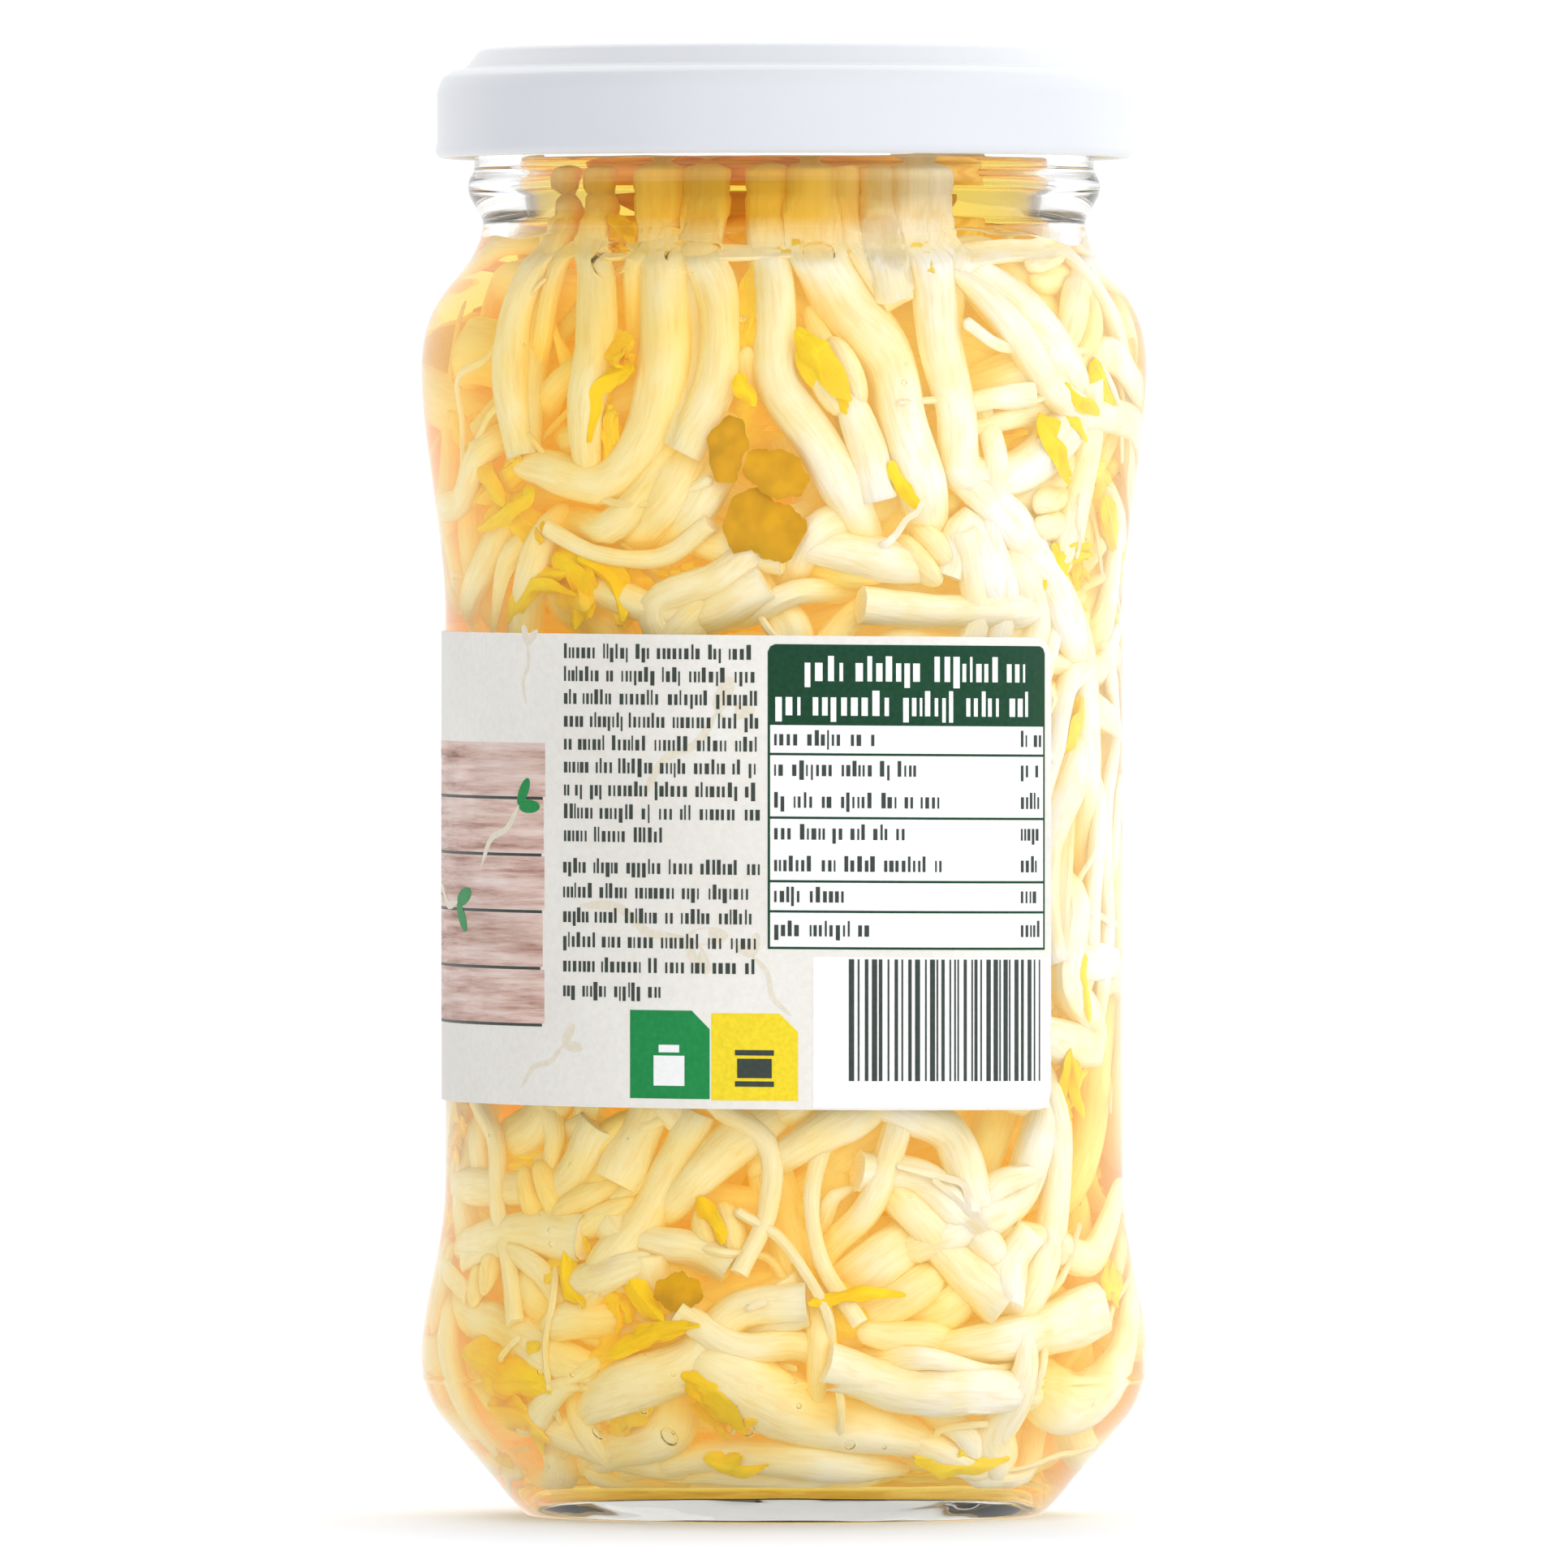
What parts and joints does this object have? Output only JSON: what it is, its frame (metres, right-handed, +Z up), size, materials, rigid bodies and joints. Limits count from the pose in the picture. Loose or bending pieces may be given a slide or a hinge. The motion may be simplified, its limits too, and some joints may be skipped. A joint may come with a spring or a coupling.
{
  "type": "jar of bean sprouts",
  "caption": "Waisted glass jar with a white twist-off lid and a paper label, packed with bean sprouts in brine.",
  "frame": {"origin": "centre of the base, on the plane that the jar stands on", "axes": "+Z up along the axis of the jar, -Y towards the front of the label, +X to the right as seen from the front"},
  "size_m": [0.0682, 0.0682, 0.1378],
  "materials": {
    "glass": "polished, faintly green",
    "brine": "clear amber liquid",
    "paper": "uncoated, printed",
    "lid_paint": "glossy white enamel",
    "sealing_compound": "matte",
    "sprout_flesh": "moist, slightly translucent",
    "hull_skin": "dull, wrinkled"
  },
  "bodies": {
    "jar": {"glass_jar": "glass", "brine": "brine", "paper_label": "paper", "bean_sprouts_01": "sprout_flesh", "bean_sprouts_02": "sprout_flesh", "bean_sprouts_03": "sprout_flesh", "bean_sprouts_04": "sprout_flesh", "bean_sprouts_05": "sprout_flesh", "bean_sprouts_06": "sprout_flesh", "bean_sprouts_07": "sprout_flesh", "bean_sprouts_08": "sprout_flesh", "bean_sprouts_09": "sprout_flesh", "bean_sprouts_10": "sprout_flesh", "bean_sprouts_11": "sprout_flesh", "bean_sprouts_12": "sprout_flesh", "bean_sprouts_13": "sprout_flesh", "bean_sprouts_14": "sprout_flesh", "bean_sprouts_15": "sprout_flesh", "bean_sprouts_16": "sprout_flesh", "bean_sprouts_17": "sprout_flesh", "bean_sprouts_18": "sprout_flesh", "bean_sprouts_19": "sprout_flesh", "bean_sprouts_20": "sprout_flesh", "bean_sprouts_21": "sprout_flesh", "bean_sprouts_22": "sprout_flesh", "bean_sprouts_23": "sprout_flesh", "bean_sprouts_24": "sprout_flesh", "bean_sprouts_25": "sprout_flesh", "bean_sprouts_26": "sprout_flesh", "bean_sprouts_27": "sprout_flesh", "bean_sprouts_28": "sprout_flesh", "bean_sprouts_29": "sprout_flesh", "bean_sprouts_30": "sprout_flesh", "bean_sprouts_31": "sprout_flesh", "bean_sprouts_32": "sprout_flesh", "bean_sprouts_33": "sprout_flesh", "bean_sprouts_34": "sprout_flesh", "bean_sprouts_35": "sprout_flesh", "bean_sprouts_36": "sprout_flesh", "bean_sprouts_37": "sprout_flesh", "bean_sprouts_38": "sprout_flesh", "bean_sprouts_39": "sprout_flesh", "bean_sprouts_40": "sprout_flesh", "bean_sprouts_41": "sprout_flesh", "bean_sprouts_42": "sprout_flesh", "bean_sprouts_43": "sprout_flesh", "bean_sprouts_44": "sprout_flesh", "bean_sprouts_45": "sprout_flesh", "bean_sprouts_46": "sprout_flesh", "bean_sprouts_47": "sprout_flesh", "bean_sprouts_48": "sprout_flesh", "bean_sprouts_49": "sprout_flesh", "bean_sprouts_50": "sprout_flesh", "bean_sprouts_51": "sprout_flesh", "bean_sprouts_52": "sprout_flesh", "seed_hull_1": "hull_skin", "seed_hull_2": "hull_skin", "seed_hull_3": "hull_skin"},
    "closure": {"lid": "lid_paint", "lid_gasket": "sealing_compound"}
  },
  "joints": [
    {"name": "lid_twist", "type": "hinge", "parent": "jar", "child": "closure", "pos_m": [0, 0, 0.1275], "axis": [0, 0, 1], "range_deg": [0, 55]}
  ]
}
